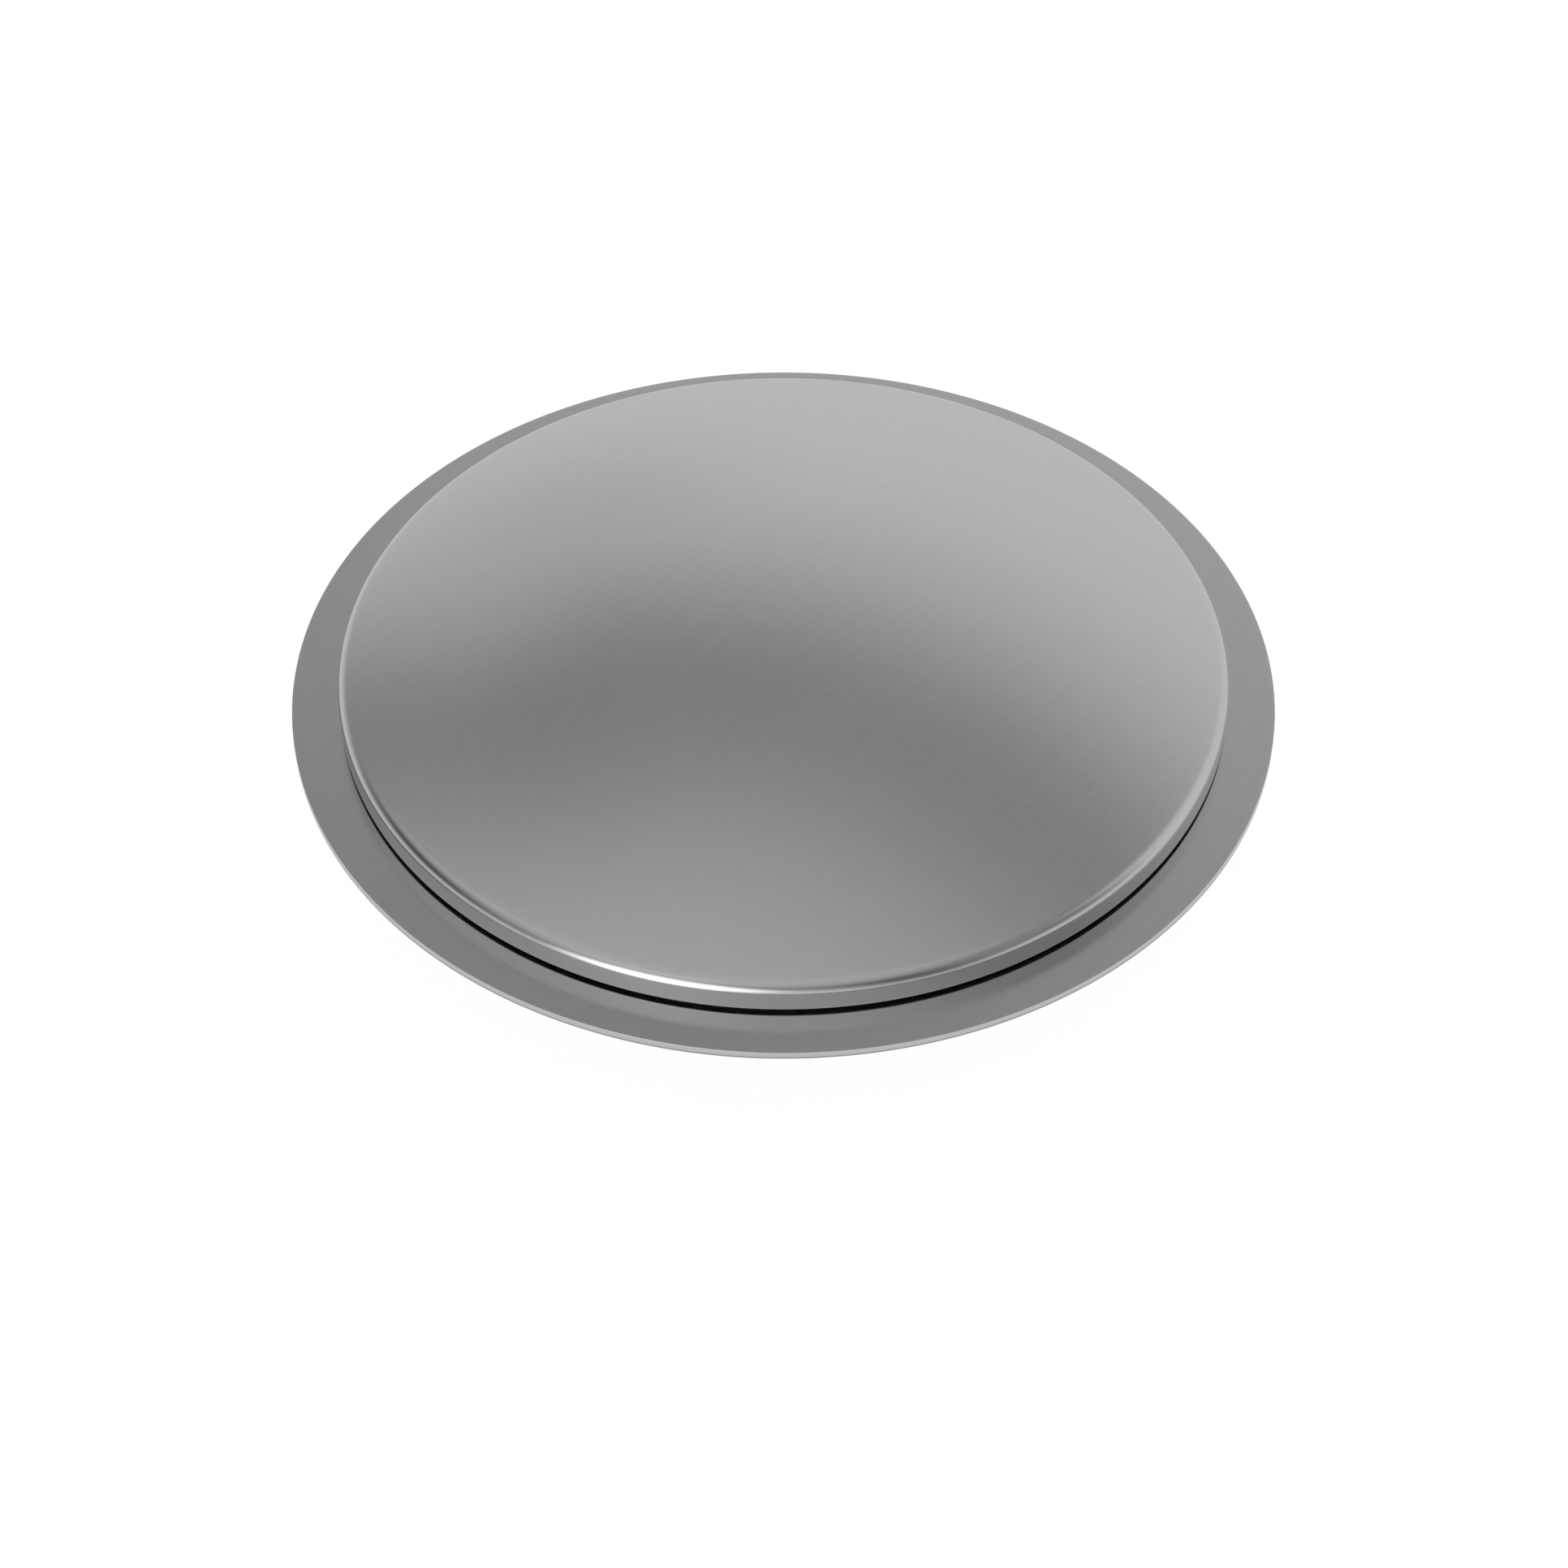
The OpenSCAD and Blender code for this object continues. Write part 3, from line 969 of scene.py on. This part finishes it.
# ---- Seal ----
# One moulded EPDM ring that hangs in the lid's channel and stands on the land on two lips. The rubber is
# black with a faint grey bloom.
def make_rubber():
    """Black rubber with a fine moulded grain and patches of bloom."""
    material, tree, shader, where = start_material("seal rubber", 0.0)
    bloom = cloud(tree, where, scale=45.0, detail=5.0)
    grain = cloud(tree, where, scale=2200.0)
    stops = [(0.35, grey(0.012)), (0.6, grey(0.019)), (0.8, (0.040, 0.040, 0.042))]
    wire(tree, graded(tree, bloom, stops), shader.inputs["Base Color"])
    wire(tree, weighted(tree, 0.62, (bloom, 0.25), (grain, 0.1)), shader.inputs["Roughness"])
    bumped(tree, grain, shader, depth=0.00003)
    return material


seal_low, seal_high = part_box("lid_seal")
seal_w = 0.011
seal_out = seal_high.x
seal_in = seal_out - seal_w
lip_w = 0.0026
lip_h = 0.0016
lip_slope = 0.0011
moulded_edge = 0.0003
seal_outline = softened(
    [
        (seal_in, seal_low.z + lip_h),
        (seal_in + lip_slope, seal_low.z),
        (seal_in + lip_slope + lip_w, seal_low.z),
        (seal_in + 2 * lip_slope + lip_w, seal_low.z + lip_h),
        (seal_out - 2 * lip_slope - lip_w, seal_low.z + lip_h),
        (seal_out - lip_slope - lip_w, seal_low.z),
        (seal_out - lip_slope, seal_low.z),
        (seal_out, seal_low.z + lip_h),
        (seal_out, seal_high.z),
        (seal_in, seal_high.z),
    ],
    moulded_edge,
)
seal = spin("seal", seal_outline, make_rubber())
settle(seal, "seal", ["lid_seal"])


# ---- Channel ----
# The ring that holds the seal: 2 mm stainless folded into an upside-down U, stitch welded under the lid's
# edge. Mill finished and pickled like the rest of the underside.
channel_low, channel_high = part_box("seal_channel")
channel_sheet = 0.002
seal_clearance = 0.00035
channel_out = channel_high.x
slot_out = channel_out - channel_sheet
slot_in = seal_in - seal_clearance
channel_in = slot_in - channel_sheet
web_low = channel_high.z - channel_sheet
folded_edge = 0.0003
channel_outline = softened(
    [
        (channel_in, channel_low.z),
        (slot_in, channel_low.z),
        (slot_in, web_low),
        (slot_out, web_low),
        (slot_out, channel_low.z),
        (channel_out, channel_low.z),
        (channel_out, channel_high.z),
        (channel_in, channel_high.z),
    ],
    folded_edge,
)


def lid_underside(radius):
    """Height of the underside of the dish at a radius."""
    return crown_centre[1] + math.sqrt((crown_r - lid_sheet) ** 2 - radius ** 2)


hub_low, hub_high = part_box("hub_tube")
hub_wall = 0.005
hub_out = hub_high.x
hub_in = hub_out - hub_wall
inner_welds = [(channel_out, channel_high.z), (hub_out, lid_underside(hub_out))]
inner_steel = make_mill_steel("inner mill steel", tone=0.48, roughness=0.27, weld_rings=inner_welds)
channel = spin("channel", channel_outline, inner_steel)
settle(channel, "lid", ["seal_channel"])


# ---- Hub and ribs ----
# A short tube in the middle and six ribs of 5 mm plate on edge, cut to the dish, which stiffen the lid. The
# ribs are welded to the tube and, in stitches, to the sheet.
hub_outline = softened(
    [
        (hub_in, hub_low.z),
        (hub_out, hub_low.z),
        (hub_out, lid_underside(hub_out)),
        (hub_in, lid_underside(hub_in)),
    ],
    broken_edge,
)
hub = spin("hub", hub_outline, inner_steel, steps=96)
settle(hub, "lid", ["hub_tube"])

rib_low, rib_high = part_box("rib_1")
rib_count = 6
rib_t = rib_high.y - rib_low.y
rib_end = channel_in


def plate_up(work, thickness, edge_width, sharp_angle):
    """Gives a face the thickness of plate on its back, and breaks the edges sharper than an angle."""
    plate = work.modifiers.new("plate", "SOLIDIFY")
    plate.thickness = thickness
    plate.offset = -1
    edge = work.modifiers.new("broken edge", "BEVEL")
    edge.width = edge_width
    edge.segments = 2
    edge.limit_method = "ANGLE"
    edge.angle_limit = math.radians(sharp_angle)


rib_points = [(r, rib_t / 2, lid_underside(r)) for r in evenly(hub_out, rib_end, 24)]
rib_points += [(rib_end, rib_t / 2, rib_low.z), (hub_out, rib_t / 2, hub_low.z)]
ribs = start_piece("ribs", rib_points, [], [tuple(range(len(rib_points)))])
plate_up(ribs, rib_t, broken_edge, sharp_angle=40)
add_tree(ribs, round_tree, {"Count": rib_count, "Finish": inner_steel})
settle(ribs, "lid", [f"rib_{i + 1}" for i in range(rib_count)])


def turned_path(path, angle):
    """A path turned about the Z axis."""
    points, edges = path
    cos, sin = math.cos(angle), math.sin(angle)
    return [(x * cos - y * sin, x * sin + y * cos, z) for x, y, z in points], edges


def repeated_round(path, count, start=0.0):
    """A path and its copies, spaced evenly round the Z axis."""
    return [turned_path(path, start + math.tau * i / count) for i in range(count)]


stitch = 0.036
stitch_gap = 0.030
stitch_steps = 8
lid_bead = 0.0022
rib_stitches = []
stitch_start = hub_out + 0.004
while stitch_start + stitch < rib_end:
    radii = evenly(stitch_start, stitch_start + stitch, stitch_steps)
    for side in (-1, 1):
        line = line_path([(r, side * rib_t / 2, lid_underside(r)) for r in radii])
        rib_stitches += repeated_round(line, rib_count)
    stitch_start += stitch + stitch_gap
weld("weld_ribs", rib_stitches, lid_bead, "lid", seed=6, open_ends=True)

hub_ring = ring_path(hub_out, lid_underside(hub_out), 96)
weld("weld_hub", [hub_ring], lid_bead, "lid", seed=7)

corner_bead = 0.0018
corner_heights = evenly(hub_low.z + 0.002, lid_underside(hub_out) - 0.003, stitch_steps)
corner_beads = []
for side in (-1, 1):
    line = line_path([(hub_out - 0.0001, side * rib_t / 2, z) for z in corner_heights])
    corner_beads += repeated_round(line, rib_count)
weld("weld_hub_corners", corner_beads, corner_bead, "lid", seed=8, open_ends=True)

channel_bead = 0.0014
channel_stitches = 24
channel_stitch = 0.024
first_stitch = math.pi / channel_stitches
half_stitch = channel_stitch / channel_out / 2
turns = evenly(-half_stitch, half_stitch, stitch_steps)
line = line_path([(channel_out * math.cos(a), channel_out * math.sin(a), channel_high.z) for a in turns])
channel_beads = repeated_round(line, channel_stitches, first_stitch)
weld("weld_channel", channel_beads, channel_bead, "lid", seed=9, open_ends=True)


# ---- Guide tabs ----
# Six tabs of 4 mm plate, curved to the bore and welded inside the channel. Their feet are bent inwards and
# their corners rounded, so that the lid drops centred on the neck.
tab_low, tab_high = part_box("guide_tab_1")
tab_count = 6
tab_t = 0.004
tab_w = 0.036
lead_in = 0.004
lead_in_h = 0.009
corner_r = 0.007
tab_edge = 0.0005
tab_columns = 18
tab_rows = 20
tab_half_angle = math.asin(tab_w / 2 / channel_in)
bend_z = tab_low.z + lead_in_h


def foot_height(across):
    """Lowest height of a tab at a distance across it, with its corners rounded."""
    into_corner = max(0.0, corner_r - (tab_w / 2 - abs(across)))
    return tab_low.z + corner_r - math.sqrt(corner_r ** 2 - into_corner ** 2)


tab_points = []
for column in range(tab_columns + 1):
    angle = tab_half_angle * math.sin(math.pi * (column / tab_columns - 0.5))
    foot = foot_height(channel_in * math.sin(angle))
    for row in range(tab_rows + 1):
        z = foot + (tab_high.z - foot) * row / tab_rows
        bent = max(0.0, (bend_z - z) / lead_in_h)
        radius = channel_in - lead_in * bent
        tab_points.append((radius * math.cos(angle), radius * math.sin(angle), z))
tab_faces = []
for column in range(tab_columns):
    for row in range(tab_rows):
        first = column * (tab_rows + 1) + row
        across = first + tab_rows + 1
        tab_faces.append((first, across, across + 1, first + 1))
tabs = start_piece("guide_tabs", tab_points, [], tab_faces)
plate_up(tabs, tab_t, tab_edge, sharp_angle=50)
tab_start = math.pi / tab_count
add_tree(tabs, round_tree, {"Count": tab_count, "Start Angle": tab_start, "Finish": inner_steel})
settle(tabs, "lid", [f"guide_tab_{i + 1}" for i in range(tab_count)])

tab_bead = 0.0015
tab_bead_margin = 0.0008
bead_heights = evenly(channel_low.z + tab_bead_margin, channel_high.z - tab_bead_margin, stitch_steps)
tab_beads = []
for side in (-1, 1):
    x, y = channel_in * math.cos(tab_half_angle), channel_in * math.sin(side * tab_half_angle)
    line = line_path([(x, y, z) for z in bead_heights])
    tab_beads += repeated_round(line, tab_count, tab_start)
weld("weld_tabs", tab_beads, tab_bead, "lid", seed=10, open_ends=True, pitch=0.002)
